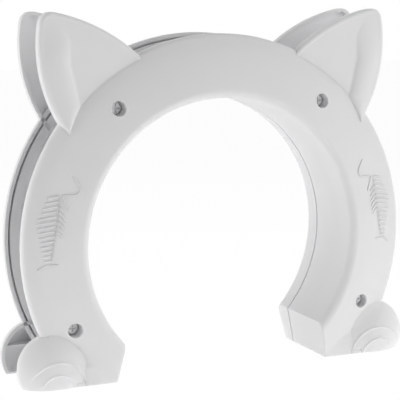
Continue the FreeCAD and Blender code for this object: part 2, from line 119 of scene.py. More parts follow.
def colour(name, default, description):
    return bpy.props.FloatVectorProperty(name=name, default=default, description=description, size=3,
                                         subtype="COLOR", min=0, max=1)


class RingSizes(bpy.types.PropertyGroup):
    """The arch, its crown and the sleeves through the door."""
    passage: length("Passage radius", 0.095, "Radius of the arched passage")
    outer: length("Ring radius", 0.137, "Radius of the ring's skirt")
    rise: length("Centre rise", 0.088, "Height of the arch's centre above the floor")
    foot: length("Foot half width", 0.0763, "Half the passage's width at the floor")
    foot_top: length("Foot end height", 0.0253, "Height at which the round passage meets a foot's flat end")
    depth: length("Half depth", 0.016, "Depth of each half, from door plane to face")
    gap: length("Door gap", 0.037, "Space between the two halves' door planes")
    wall: length("Shell wall", 0.0025, "Thickness of the moulded shell")
    sole: length("Sole wall", 0.003, "Thickness of the shell under the feet")
    lip: length("Inner rounding", 0.005, "Rounding between passage and face")
    corner: length("Outer rounding", 0.002, "Rounding between face and skirt")
    foot_corner: length("Foot end rounding", 0.0014, "Rounding between a foot's flat end and the face")
    middle: length("Crown middle radius", 0.116, "Radius at which the crown's fall is given")
    middle_fall: length("Crown middle fall", 0.0035, "Fall of the face at the crown middle radius")
    edge_fall: length("Crown edge fall", 0.0096, "Fall of the face at the outer rounding")
    sleeve: length("Sleeve wall", 0.0023, "Thickness of both sleeves")
    play: length("Sleeve clearance", 0.00035, "Space between the two sleeves")
    front_reach: length("Front sleeve reach", 0.0353, "Reach of the front sleeve past its door plane")
    rear_reach: length("Rear sleeve reach", 0.0345, "Reach of the rear sleeve past its door plane")
    rib: length("Rib thickness", 0.0016, "Thickness of the radial ribs inside a half")
    rib_setback: length("Rib setback", 0.003, "Depth at which the ribs start")
    rib_angle: angle("Rib angle", 20, "Angle between ribs")
    land: length("Land radius", 0.1331, "Outer radius of the land that lies on the door inside the rim")
    land_width: length("Land width", 0.006, "Width of the land")
    shelf: length("Shelf height", 0.017, "Height of the level wall inside the paws")
    apron_x: length("Apron place", 0.097, "Distance of the level part of a foot from the middle")
    apron_drop: length("Apron drop", 0.008, "Depth of the apron's centre below the floor")
    apron: length("Apron radius", 0.020, "Radius of the level part of a foot's face")
    apron_depth: length("Apron height", 0.0124, "Depth of the level part of a foot's face")
    apron_slope: angle("Apron slope", 20, "Slope of the foot's face round its level part")


class WellSizes(bpy.types.PropertyGroup):
    """The four sunken screw places."""
    circle: length("Screw circle", 0.1163, "Distance of the screws from the arch's centre")
    upper: angle("Upper screw angle", 38.8, "Angle of the upper screws from the top")
    lower: angle("Lower screw angle", 115.8, "Angle of the lower screws from the top")
    radius: length("Well radius", 0.00475, "Radius of the wells round the screw heads")
    seat: length("Seat depth", 0.0025, "Depth at which a screw head sits")
    boss: length("Boss radius", 0.00675, "Outer radius of the screw bosses")
    rim: length("Well rim", 0.0003, "Height of the raised rim round a well")
    step: length("Grid step", 0.00075, "Step of the surface grid round a well")


class EarSizes(bpy.types.PropertyGroup):
    """One ear; the others mirror it."""
    depth: length("Ear depth", 0.0068, "Depth of the flat part")
    edge: length("Ear edge rounding", 0.0012, "Rounding of the ear's edge")
    bead: length("Ear bead", 0.0003, "Height of the bead beside the edge")
    tip_x: length("Tip place", 0.1204, "Distance of the unrounded tip from the middle")
    tip_height: length("Tip height", 0.2412, "Height of the unrounded tip")
    tip: length("Tip rounding", 0.0075, "Radius of the rounded tip")
    side: length("Side bulge", 0.1223, "Widest place of the outer side")
    foot_x: length("Foot place", 0.1099, "Distance of the outer side's lower end from the middle")
    foot_height: length("Foot height", 0.1690, "Height of the outer side's lower end")
    brow_x: length("Brow place", 0.0523, "Distance of the top side's inner end from the middle")
    brow_height: length("Brow height", 0.2082, "Height of the top side's inner end")
    lobe: length("Lobe height", 0.0026, "Rise of the outer lobe over the flat part")


class PawSizes(bpy.types.PropertyGroup):
    """One paw; the others mirror it."""
    x: length("Paw place", 0.1173, "Distance of a paw's centre from the middle")
    height: length("Paw height", 0.0115, "Height of a paw's centre")
    radius: length("Paw radius", 0.02378, "Radius of a paw")
    skirt: length("Paw skirt", 0.004, "Depth of a paw's straight edge")
    toe_height: length("Toe height", -0.0016, "Height of the toe lines' centre")
    toe_outer: length("Outer toe radius", 0.01975, "Radius of the outer toe line")
    toe_inner: length("Inner toe radius", 0.01155, "Radius of the inner toe line")
    toe_width: length("Toe line width", 0.0013, "Width of the toe lines")


class BoneSizes(bpy.types.PropertyGroup):
    """The raised fish bone on a leg."""
    top: length("Bone height", 0.125, "Height of the spine's upper end")
    x: length("Bone place", 0.113, "Distance of the spine's upper end from the middle")
    length: length("Bone length", 0.041, "Height of the spine")
    lean: length("Bone lean", 0.0065, "How far the spine leans outwards")
    width: length("Bone line", 0.0015, "Width of the raised lines")
    relief: length("Relief", 0.001, "Height of the raised lines")
    pitch: length("Bone pitch", 0.0029, "Distance from rib to rib")
    slant: angle("Bone slant", 10, "Slant of the ribs")
    first: length("First rib", 0.0078, "Length of the uppermost rib")
    widest: length("Widest rib", 0.0135, "Length of the longest rib")
    last: length("Last rib", 0.005, "Length of the lowest rib")


class Finishes(bpy.types.PropertyGroup):
    """Colours and surface values."""
    plastic: colour("Plastic", (0.90, 0.90, 0.905), "Colour of the moulded halves")
    plastic_shade: colour("Plastic shade", (0.88, 0.88, 0.888), "Colour of the plastic's faint mottling")
    roughness: number("Plastic roughness", 0.58, "Roughness of the moulded surface")
    glow: number("Plastic glow", 0.5, "Share of light that passes into the thin walls")
    depth: length("Glow depth", 0.0025, "How far light spreads inside the plastic")
    metal_shade: colour("Metal shade", (0.84, 0.84, 0.845), "Darker colour in the plating's mottling")
    metal: colour("Metal", (0.93, 0.93, 0.935), "Colour of the zinc plating")


class Studio(bpy.types.PropertyGroup):
    """Camera and light."""
    place: bpy.props.FloatVectorProperty(name="Camera place", default=(-0.3629, -0.8467, 0.2465), size=3,
                                         subtype="TRANSLATION", description="Where the camera stands")
    yaw: angle("Camera yaw", 22.947, "Turn of the view to the right")
    pitch: angle("Camera pitch", -8.342, "Tilt of the view upwards")
    roll: angle("Camera roll", -0.407, "Roll of the view")
    lens: number("Lens", 122.54, "Focal length in millimetres on a 36 mm frame")
    tent: number("Tent", 0.585, "Mean level of the white tent")
    tent_above: number("Tent above", 0.18, "How much darker the tent is above")
    tent_back: number("Tent behind", 0.34, "How much brighter the tent is behind, and darker in front")
    tent_right: number("Tent right", 0.31, "How much brighter the tent is at the right")
    key: number("Key light", 4.1, "Power of the large lamp at the right")
    fill: number("Fill light", 3.7, "Power of the soft lamp at the left")
    # Painted light: the floor glows near the object, adding light from below to the object's lower parts.
    floor_glow: number("Floor glow", 0.38, "Brightness that the floor near the object gives of itself")
    pale: number("Pale floor", 0.97, "Share of plain white in the floor")


# Node trees

class Number:
    """A shader number: an expression on numbers adds its Math nodes."""

    def __init__(self, shader, socket):
        self.shader = shader
        self.socket = socket

    def calculate(self, operation, *values):
        settings = {"operation": operation}
        node = self.shader.node("ShaderNodeMath", settings, values)
        return Number(self.shader, node.outputs[0])

    def __add__(self, other):
        return self.calculate("ADD", self, other)

    def __sub__(self, other):
        return self.calculate("SUBTRACT", self, other)

    def __rsub__(self, other):
        return self.calculate("SUBTRACT", other, self)

    def __mul__(self, other):
        return self.calculate("MULTIPLY", self, other)

    def larger(self, other):
        return self.calculate("MAXIMUM", self, other)

    __radd__ = __add__
    __rmul__ = __mul__


class Shader:
    """A node tree that is being put together."""

    def __init__(self, tree):
        self.tree = tree
        tree.nodes.clear()

    def node(self, kind, settings=None, values=()):
        """Adds a node: its settings come first, then values or links by socket name or order."""
        node = self.tree.nodes.new(kind)
        for name, setting in (settings or {}).items():
            setattr(node, name, setting)
        named = values.items() if isinstance(values, dict) else enumerate(values)
        for key, value in named:
            if isinstance(value, Number):
                value = value.socket
            if isinstance(value, bpy.types.NodeSocket):
                self.tree.links.new(value, node.inputs[key])
            else:
                node.inputs[key].default_value = value
        return node

    def number(self, kind, output, settings=None, values=()):
        return Number(self, self.node(kind, settings, values).outputs[output])

    def mix(self, factor, first, second):
        """A colour between two colours."""
        node = self.node("ShaderNodeMix", {"data_type": "RGBA"}, {0: factor, 6: first, 7: second})
        return node.outputs[2]


def new_material(name):
    material = bpy.data.materials.new(name)
    material.use_nodes = True
    return material, Shader(material.node_tree)


def opaque(rgb):
    return (*rgb, 1.0)


def white_rays(shader):
    """1 for the rays of the camera, of gloss and of glass, which meet plain white, and else 0."""
    paths = shader.node("ShaderNodeLightPath")
    camera, gloss, glass = (Number(shader, paths.outputs["Is %s Ray" % kind])
                            for kind in ("Camera", "Glossy", "Transmission"))
    return camera.larger(gloss).larger(glass)


def moulded_plastic(finishes):
    """White moulded plastic: faint mottling, a fine tool grain and slightly uneven gloss."""
    material, shader = new_material("moulded_plastic")
    place = shader.node("ShaderNodeTexCoord").outputs["Object"]
    cloud = shader.number("ShaderNodeTexNoise", 0, None, {"Vector": place, "Scale": 35.0, "Detail": 3.0})
    grain = shader.number("ShaderNodeTexNoise", 0, None, {"Vector": place, "Scale": 2600.0, "Detail": 2.0})
    waves = shader.number("ShaderNodeTexNoise", 0, None, {"Vector": place, "Scale": 90.0, "Detail": 1.0})
    tint = shader.mix(cloud, opaque(finishes.plastic), opaque(finishes.plastic_shade))
    height = grain * 0.4 + waves * 0.6
    bump = shader.node("ShaderNodeBump", None, {"Strength": 0.12, "Distance": 0.0002, "Height": height})
    surface = shader.node("ShaderNodeBsdfPrincipled", None, {
        "Base Color": tint, "Roughness": finishes.roughness - 0.04 + cloud * 0.08, "IOR": 1.46,
        "Subsurface Weight": finishes.glow, "Subsurface Scale": finishes.depth,
        "Subsurface Radius": (1, 1, 1), "Normal": bump.outputs[0]})
    shader.node("ShaderNodeOutputMaterial", None, {"Surface": surface.outputs[0]})
    return material


def zinc_plate(finishes):
    """Zinc plated steel, with faint turning marks and uneven gloss."""
    material, shader = new_material("zinc_plate")
    place = shader.node("ShaderNodeTexCoord").outputs["Object"]
    cloud = shader.number("ShaderNodeTexNoise", 0, None, {"Vector": place, "Scale": 400.0, "Detail": 3.0})
    marks = shader.number("ShaderNodeTexNoise", 0, None, {"Vector": place, "Scale": 3000.0, "Detail": 1.0})
    tint = shader.mix(cloud * 0.5, opaque(finishes.metal), opaque(finishes.metal_shade))
    bump = shader.node("ShaderNodeBump", None, {"Strength": 0.15, "Distance": 0.0001, "Height": marks})
    surface = shader.node("ShaderNodeBsdfPrincipled", None, {
        "Base Color": tint, "Metallic": 0.2, "Roughness": 0.42 + cloud * 0.2, "Normal": bump.outputs[0]})
    shader.node("ShaderNodeOutputMaterial", None, {"Surface": surface.outputs[0]})
    return material


def shared_material(name, make, finishes):
    """A material that several pieces share, made once."""
    return bpy.data.materials.get(name) or make(finishes)


# Meshes

def grid_faces(rows, columns, rows_close=False, columns_close=False):
    """Quads of a grid of points, row after row; a closed way joins its last line to its first."""
    row, column = np.meshgrid(np.arange(rows - (not rows_close)), np.arange(columns - (not columns_close)),
                              indexing="ij")
    next_row = (row + 1) % rows
    next_column = (column + 1) % columns
    corners = (row * columns + column, row * columns + next_column,
               next_row * columns + next_column, next_row * columns + column)
    return np.stack(corners, axis=-1).reshape(-1, 4)


def swept(points, rows_close=False, columns_close=True, capped=True):
    """Points of shape rows x columns x 3 as a surface, with flat ends where it is capped."""
    rows, columns = points.shape[:2]
    faces = grid_faces(rows, columns, rows_close, columns_close).tolist()
    if capped:
        faces.append(list(range(columns)))
        faces.append(list(range((rows - 1) * columns, rows * columns)))
    return points.reshape(-1, 3), faces


def joined(parts):
    """Several surfaces as one list of points and one of faces."""
    points, faces, start = [], [], 0
    for part_points, part_faces in parts:
        points.append(part_points)
        faces += [[start + corner for corner in face] for face in part_faces]
        start += len(part_points)
    return np.concatenate(points), faces


def placed(across, depth, height, side, gap):
    """Across, depth and height as points of the frame: side is -1 for the front half, 1 for the rear."""
    across, depth, height = np.broadcast_arrays(across, depth, height)
    return np.stack([across, side * (gap / 2 + depth), height], axis=-1)


def piece(name, surface, body, material, smooth=math.radians(38)):
    """A closed mesh with outward faces, smooth except across sharp edges, that rides on a body."""
    points, faces = surface
    mesh = bpy.data.meshes.new(name)
    mesh.from_pydata(points.tolist(), [], faces)
    shape = bmesh.new()
    shape.from_mesh(mesh)
    bmesh.ops.remove_doubles(shape, verts=shape.verts, dist=2e-6)
    bmesh.ops.dissolve_degenerate(shape, edges=shape.edges, dist=1e-6)
    bmesh.ops.recalc_face_normals(shape, faces=shape.faces)
    shape.to_mesh(mesh)
    shape.free()
    mesh.shade_smooth()
    mesh.set_sharp_from_angle(angle=smooth)
    made = bpy.data.objects.new(name, mesh)
    bpy.context.scene.collection.objects.link(made)
    made.data.materials.append(material)
    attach(made, body)
    return made


# Curves

def circle_through(first, middle, last):
    """Centre and radius of the circle through three places of a plane."""
    rows = 2 * np.array([middle - first, last - first])
    sums = np.array([middle @ middle - first @ first, last @ last - first @ first])
    centre = np.linalg.solve(rows, sums)
    return centre, np.linalg.norm(first - centre)


def arc(centre, radius, start, end, count):
    """Places on a circle from one place to another, the short way round."""
    begin = math.atan2(*(start - centre)[::-1])
    turn = (math.atan2(*(end - centre)[::-1]) - begin + math.pi) % math.tau - math.pi
    along = begin + np.linspace(0, turn, count)
    return centre + radius * np.stack([np.cos(along), np.sin(along)], axis=-1)


def meeting(first, first_radius, second, second_radius, near):
    """The place, nearest to a given one, where two circles meet."""
    apart = second - first
    span = np.linalg.norm(apart)
    along = (span ** 2 + first_radius ** 2 - second_radius ** 2) / (2 * span)
    aside = math.sqrt(first_radius ** 2 - along ** 2)
    foot = first + apart / span * along
    across = np.array([-apart[1], apart[0]]) / span * aside
    return min((foot + across, foot - across), key=lambda place: np.linalg.norm(place - near))


def rounding(distance, radius):
    """Fall of a surface towards a rounded edge: a quarter circle within its radius of the edge."""
    inside = np.clip(1 - distance / radius, 0, 1)
    return radius * (1 - np.sqrt(np.clip(1 - inside ** 2, 0, 1)))


def soft_step(low, high, value):
    share = np.clip((value - low) / (high - low), 0, 1)
    return share * share * (3 - 2 * share)


def soft_maximum(first, second, blend):
    """The larger of two heights, with the crease between them filled within a blend."""
    near = np.clip(0.5 + 0.5 * (first - second) / blend, 0, 1)
    return second + (first - second) * near + blend * near * (1 - near) / 2


# Ring

def crown(ring, radius):
    """Depth of the face: level up to the lip, then an arc through the crown's middle and edge."""
    land = ring.passage + ring.lip
    centre, size = circle_through(np.array([land, ring.depth]),
                                  np.array([ring.middle, ring.depth - ring.middle_fall]),
                                  np.array([ring.outer - ring.corner, ring.depth - ring.edge_fall]))
    fallen = centre[1] + np.sqrt(size ** 2 - (np.clip(radius, land, ring.outer) - centre[0]) ** 2)
    return np.where(radius < land, ring.depth, fallen)


def face_depth(ring, x, z):
    """Depth of the ring's face anywhere: the crown, levelled between a foot's end and its paw."""
    face = crown(ring, np.hypot(x, z - ring.rise))
    away = np.hypot(np.abs(x) - ring.apron_x, z + ring.apron_drop)
    apron = ring.apron_depth - np.maximum(away - ring.apron, 0) * math.tan(ring.apron_slope)
    return soft_maximum(face, apron, APRON_BLEND)


def well_angles(wells):
    return [-wells.lower, -wells.upper, wells.upper, wells.lower]


def arch_angles(wells):
    """Angles of the rows along the round part: plain steps, and a fine even grid at each well."""
    fine = wells.step / wells.circle
    marks = [-ROUND_END]
    for centre in well_angles(wells):
        reach = min(FINE_ROWS * fine, ROUND_END - abs(centre))
        marks += [centre - reach, centre + reach]
    marks.append(ROUND_END)
    rows = []
    for order, (low, high) in enumerate(zip(marks, marks[1:])):
        if high - low < 1e-6:
            continue
        step = fine if order % 2 else PLAIN_STEP
        count = max(1, round((high - low) / step))
        rows.append(np.linspace(low, high, count + 1)[:-1])
    return np.concatenate(rows + [np.array([ROUND_END])])


def ring_rows(ring, wells):
    """Inner and outer ends of each row, and each row's angle: round part, then the feet.

    Past the round part the rows fan out of the passage's foot, until the last lies on the floor."""
    angles = arch_angles(wells)
    centre = np.array([0, ring.rise])
    turned = np.stack([np.sin(angles), np.cos(angles)], axis=-1)
    inner = centre + ring.passage * turned
    outer = centre + ring.outer * turned
    kink_x = math.sqrt(ring.passage ** 2 - (ring.rise - ring.foot_top) ** 2)
    kink = np.array([kink_x, ring.foot_top])
    sole = np.array([ring.foot, 0])
    bend = arc(centre, ring.passage, inner[-1], kink, 15)[1:]
    drops = np.append(np.linspace(0, 1 - ring.sole / ring.foot_top, 16)[1:],
                      [1 - 0.98 * ring.sole / ring.foot_top, 0.95, 1])[:, None]
    foot_inner = np.concatenate([bend, kink + (sole - kink) * drops])
    steps = np.linalg.norm(np.diff(np.vstack([inner[-1:], foot_inner]), axis=0), axis=1)
    share = (np.cumsum(steps) / steps.sum())[:, None]
    floor_angle = math.pi - math.acos(ring.rise / ring.outer)
    foot_angles = angles[-1] + (floor_angle - angles[-1]) * share
    foot_outer = centre + ring.outer * np.hstack([np.sin(foot_angles), np.cos(foot_angles)])
    flipped = np.array([-1, 1])
    inner = np.vstack([foot_inner[::-1] * flipped, inner, foot_inner])
    outer = np.vstack([foot_outer[::-1] * flipped, outer, foot_outer])
    plain = np.full(len(foot_inner), np.nan)
    return inner, outer, np.concatenate([plain, angles, plain])


def ring_columns(ring, wells):
    """Shares of the way from inner to outer end: fine at both roundings and even round the wells."""
    width = ring.outer - ring.passage
    centre = wells.circle - ring.passage
    reach = FINE_ROWS * wells.step
    lip = ring.lip * np.array([0, 0.016, 0.06, 0.132, 0.23, 0.35, 0.49, 0.64])
    corner = ring.corner * np.array([0.78, 0.53, 0.32, 0.15, 0.04, 0])
    near = np.linspace(lip[-1], centre - reach, 9)[1:-1]
    even = centre + wells.step * np.arange(-FINE_ROWS, FINE_ROWS + 1)
    far = np.linspace(centre + reach, width - corner[0], 10)[1:-1]
    return np.concatenate([lip, near, even, far, width - corner]) / width


def draw_wells(ring, wells, x, z, angles):
    """Bends the even grid at each well into circles.

    Returns the bent places and, for each point, the number of the circle it lies on, if any."""
    rings = np.full(x.shape, NO_CIRCLE)
    wall = wells.radius
    radii = np.concatenate([wall * np.arange(SEAT_CIRCLE + 1) / SEAT_CIRCLE,
                            [wall + 0.00005, wall + 0.0005, wall + 0.001, wells.boss - 0.00005,
                             wells.boss + 0.00005, 0.0079, 0.0089, 0.0099, 0.0110, 0.0120]])
    for centre in well_angles(wells):
        along = (angles[:, None] - centre) * wells.circle
        aside = np.hypot(x, z - ring.rise) - wells.circle
        along = np.broadcast_to(along, x.shape)
        circle = np.round(np.maximum(np.abs(along), np.abs(aside)) / wells.step)
        near = np.nan_to_num(circle, nan=NO_CIRCLE) <= FINE_ROWS
        circle = circle[near].astype(int)
        along, aside = along[near], aside[near]
        largest = np.maximum(np.maximum(np.abs(along), np.abs(aside)), 1e-9)
        apart = np.maximum(np.hypot(along, aside), 1e-9)
        roundness = np.clip((FINE_ROWS - circle) / ROUND_FADE, 0, 1)
        scale = radii[circle] * ((1 - roundness) / largest + roundness / apart)
        turned = centre + along * scale / wells.circle
        reach = wells.circle + aside * scale
        x[near] = reach * np.sin(turned)
        z[near] = ring.rise + reach * np.cos(turned)
        rings[near] = circle
    return x, z, rings


def ring_surface(ring, wells, side):
    """A closed profile carried along the arch.

    It runs up the passage wall, over lip, crown and rounded corner, down the skirt, across the rim,
    back over the hollow inside and down the sleeve. The front's sleeve is the inner one."""
    inner, outer, angles = ring_rows(ring, wells)
    columns = ring_columns(ring, wells)
    span = np.linalg.norm(outer - inner, axis=1)[:, None]
    way = (outer - inner) / span
    x = inner[:, :1] + (outer - inner)[:, :1] * columns
    z = inner[:, 1:] + (outer - inner)[:, 1:] * columns
    x, z, circle = draw_wells(ring, wells, x, z, angles)
    on_foot = soft_step(ring.foot_top, ring.foot_top - 0.003, inner[:, 1:])
    lip = ring.lip + (ring.foot_corner - ring.lip) * on_foot
    face = (face_depth(ring, x, z) - rounding(columns * span, lip)
            - rounding((1 - columns) * span, ring.corner))
    raised = np.select([circle == SEAT_CIRCLE + 2, circle == SEAT_CIRCLE + 3],
                       [wells.rim, wells.rim * 0.6], 0)
    face = np.where(circle <= SEAT_CIRCLE, wells.seat, face + raised)

    sleeve = ring.sleeve if side < 0 else 2 * ring.sleeve + ring.play
    squeeze = sleeve + columns * (span - sleeve - ring.wall) - columns * span
    hollow_x = x + way[:, :1] * squeeze
    hollow_z = np.maximum(z + way[:, 1:] * squeeze, 0)
    hollow = np.maximum(face_depth(ring, hollow_x, hollow_z) - ring.wall, LAND_EDGE)
    hollow = np.where(circle <= BOSS_CIRCLE, 0, hollow)
    hollow[inner[:, 1] <= ring.sole * 0.99] = 0

    def column(offset, depths, from_outer=False):
        """A straight run of the profile at a distance from one end of the row."""
        origin = outer if from_outer else inner
        places = (origin + way * offset)[:, None, :]
        depths = np.broadcast_to(depths, (len(inner), depths.shape[-1]))
        return placed(places[..., 0], depths, np.maximum(places[..., 1], 0), side, ring.gap)

    runs = [placed(x, face, z, side, ring.gap)]
    skirt = face[:, -1:]
    runs.append(column(0, skirt * np.array([[0.7, 0.4]]), True))
    runs.append(column(0, np.array([[EDGE]]), True))
    runs.append(column(-EDGE, np.array([[0.0]]), True))
    runs.append(column(-ring.wall, np.array([[0.0]]), True))
    runs.append(placed(hollow_x, hollow, hollow_z, side, ring.gap)[:, ::-1])
    if side < 0:
        down = np.linspace(0, -ring.front_reach, 7)[None, :]
        runs.append(column(sleeve, down))
        runs.append(column(0, down[:, ::-1]))
    else:
        down = np.linspace(0, -ring.rear_reach, 7)[None, :]
        runs.append(column(sleeve, down))
        runs.append(column(ring.sleeve + ring.play, down[:, ::-1]))
        runs.append(column(0, np.array([[0.0]])))
    runs.append(column(0, np.array([[0.002, 0.005, 0.008]])))
    return swept(np.concatenate(runs, axis=1))


def rib_surface(ring, side):
    """Thin radial walls inside a half, whose tops follow the crown."""
    radii = np.linspace(ring.passage + ring.sleeve - 0.0004, ring.outer - ring.wall + 0.0004, 14)
    parts = []
    for step in (-5, -4, -3, -1, 0, 1, 3, 4, 5):
        turned = step * ring.rib_angle
        half = np.array([-1, -1, 1, 1]) * ring.rib / 2
        top = crown(ring, radii)[:, None] - ring.wall / 2
        low = np.full_like(top, ring.rib_setback)
        depth = np.hstack([low, top, top, low])
        x = radii[:, None] * math.sin(turned) + half * math.cos(turned)
        z = ring.rise + radii[:, None] * math.cos(turned) - half * math.sin(turned)
        parts.append(swept(placed(x, depth, z, side, ring.gap)))
    return joined(parts)


def land_surface(ring, side):
    """A solid round wall inside the rim, from the door plane to the shell, that ends on the floor."""
    last = math.pi - math.acos(ring.rise / ring.land)
    angles = np.linspace(-last, last, 220)[:, None]
    radii = ring.land - ring.land_width * np.array([0, 0.03, 0.25, 0.5, 0.75, 0.97, 1])
    x = radii * np.sin(angles)
    z = ring.rise + radii * np.cos(angles)
    top = face_depth(ring, x, z) - ring.wall / 2
    low = np.zeros_like(top) + LAND_EDGE * np.array([1, 0, 0, 0, 0, 0, 1])
    x, z = np.hstack([x, x[:, ::-1]]), np.maximum(np.hstack([z, z[:, ::-1]]), 0)
    return swept(placed(x, np.hstack([low, top[:, ::-1]]), z, side, ring.gap))


def shelf_surface(ring, paw, side, hand):
    """A level wall from a foot's sleeve across the hollow of its paw."""
    middle = ring.shelf + ring.rib / 2
    inner = ring.foot + 2 * ring.sleeve
    reach = math.sqrt((paw.radius - ring.wall / 2) ** 2 - (middle - paw.height) ** 2)
    x = np.linspace(inner, paw.x + reach, 60)[:, None]
    share = np.clip(np.hypot(x - paw.x, middle - paw.height) / paw.radius, 0, 1)
    dome = np.where(np.abs(x - paw.x) < reach + 1e-6, dome_depth(ring, paw, share), 0)
    ring_face = np.where(np.hypot(x, middle - ring.rise) < ring.outer, face_depth(ring, x, middle), 0)
    top = np.maximum(dome, ring_face) - ring.wall / 2
    low = np.full_like(top, ring.rib_setback)
    z = middle + np.array([-1, -1, 1, 1]) * ring.rib / 2
    top = np.maximum(top, ring.rib_setback + LAND_EDGE)
    return swept(placed(hand * x, np.hstack([low, top, top, low]), z, side, ring.gap))


# Ears

def ear_outline(ear, count):
    """Outer side, rounded tip and top side, from the foot to the brow, evenly spaced."""
    foot = np.array([ear.foot_x, ear.foot_height])
    tip = np.array([ear.tip_x, ear.tip_height])
    brow = np.array([ear.brow_x, ear.brow_height])
    bulge = np.array([ear.side, (ear.foot_height + ear.tip_height) / 2 - BULGE_DROP])
    ridge = (tip + brow) / 2 + np.array(RIDGE)
    side_centre, side_radius = circle_through(foot, bulge, tip)
    top_centre, top_radius = circle_through(tip, ridge, brow)
    centre = meeting(side_centre, side_radius - ear.tip, top_centre, top_radius - ear.tip, tip)
    leave = side_centre + (centre - side_centre) * side_radius / np.linalg.norm(centre - side_centre)
    land = top_centre + (centre - top_centre) * top_radius / np.linalg.norm(centre - top_centre)
    root = foot + np.array(EAR_ROOT)
    path = np.vstack([
        np.linspace(root, foot, 12)[:-1],
        arc(side_centre, side_radius, foot, leave, 80)[:-1],
        arc(centre, ear.tip, leave, land, 30)[:-1],
        arc(top_centre, top_radius, land, brow, 80),
    ])
    lengths = np.append(0, np.cumsum(np.linalg.norm(np.diff(path, axis=0), axis=1)))
    even = np.linspace(0, lengths[-1], count)
    path = np.stack([np.interp(even, lengths, path[:, axis]) for axis in (0, 1)], axis=-1)
    for _ in range(6):
        path[1:-1] = (path[:-2] + 2 * path[1:-1] + path[2:]) / 4
    return path


def distance_to(path, x, z):
    """Distance of each place from the nearest point of a path."""
    start, run = path[:-1], np.diff(path, axis=0)
    to_x = x[..., None] - start[:, 0]
    to_z = z[..., None] - start[:, 1]
    share = np.clip((to_x * run[:, 0] + to_z * run[:, 1]) / (run ** 2).sum(axis=1), 0, 1)
    return np.hypot(to_x - share * run[:, 0], to_z - share * run[:, 1]).min(axis=-1)


def ear_lobe(ear, x, z, edge):
    """Rise of the outer lobe: a fold from the crease to the edge that fades towards the tip."""
    from_crease = x - np.interp(z, LOBE_HEIGHTS, LOBE_CREASE)
    share = np.clip(from_crease / np.maximum(from_crease + edge, 1e-6), 0, 1)
    fade = 1 - soft_step(*LOBE_FADE, z)
    return ear.lobe * fade * np.sin(math.pi * share ** 0.75) ** 0.9


def ear_surface(ring, ear, side, hand):
    """A closed profile carried along the ear's outline.

    It runs up the edge, over rounding, bead, flat part and lobe to a root inside the ring, and back
    over the hollow side."""
    count = 170
    path = ear_outline(ear, count)
    angles = np.linspace(math.atan2(path[0, 0], path[0, 1] - ring.rise),
                         math.atan2(path[-1, 0], path[-1, 1] - ring.rise), count)
    reach = np.linspace(*EAR_REACH, count)
    root = np.stack([reach * np.sin(angles), ring.rise + reach * np.cos(angles)], axis=-1)
    way = root - path
    columns = np.concatenate([[0, 0.002, 0.008, 0.018, 0.032, 0.05, 0.07], np.linspace(0.09, 1, 44)])
    x = path[:, :1] + way[:, :1] * columns
    z = path[:, 1:] + way[:, 1:] * columns
    edge = distance_to(path, x, z)
    lobe = ear_lobe(ear, x, z, edge)
    bead = ear.bead * np.exp(-((edge - BEAD_PLACE) / BEAD_WIDTH) ** 2)
    face = ear.depth - rounding(edge, ear.edge) + bead + lobe
    tangent = np.gradient(path, axis=0)
    normal = np.stack([tangent[:, 1], -tangent[:, 0]], axis=-1)
    normal /= np.linalg.norm(normal, axis=1)[:, None]
    span = np.linalg.norm(way, axis=1)
    inward = np.abs((normal * way).sum(axis=1) / span)
    start = np.clip(ring.wall / (np.maximum(inward, 0.4) * span), 0, 0.6)[:, None]
    shares = start + (1 - start) * np.linspace(0, 1, 20)
    hollow_x = path[:, :1] + way[:, :1] * shares
    hollow_z = path[:, 1:] + way[:, 1:] * shares
    hollow_edge = distance_to(path, hollow_x, hollow_z)
    hollow = ear.depth - ring.wall + ear_lobe(ear, hollow_x, hollow_z, hollow_edge) * 0.8
    skirt = face[:, :1] * np.array([[0.6, 0.25]])
    zero = np.zeros((count, 1))
    runs = [
        placed(hand * x, face, z, side, ring.gap),
        placed(hand * hollow_x, hollow, hollow_z, side, ring.gap)[:, ::-1],
        placed(hand * hollow_x[:, :1], zero, hollow_z[:, :1], side, ring.gap),
        placed(hand * path[:, :1], zero, path[:, 1:], side, ring.gap),
        placed(hand * path[:, :1], skirt[:, ::-1], path[:, 1:], side, ring.gap),
    ]
    return swept(np.concatenate(runs, axis=1))


# Paws

def dome_depth(ring, paw, share):
    """Depth of a paw's face at a share of its radius: level at the centre and steep at the skirt."""
    return paw.skirt + (ring.depth - paw.skirt) * (1 - share ** 2.2) ** 0.75


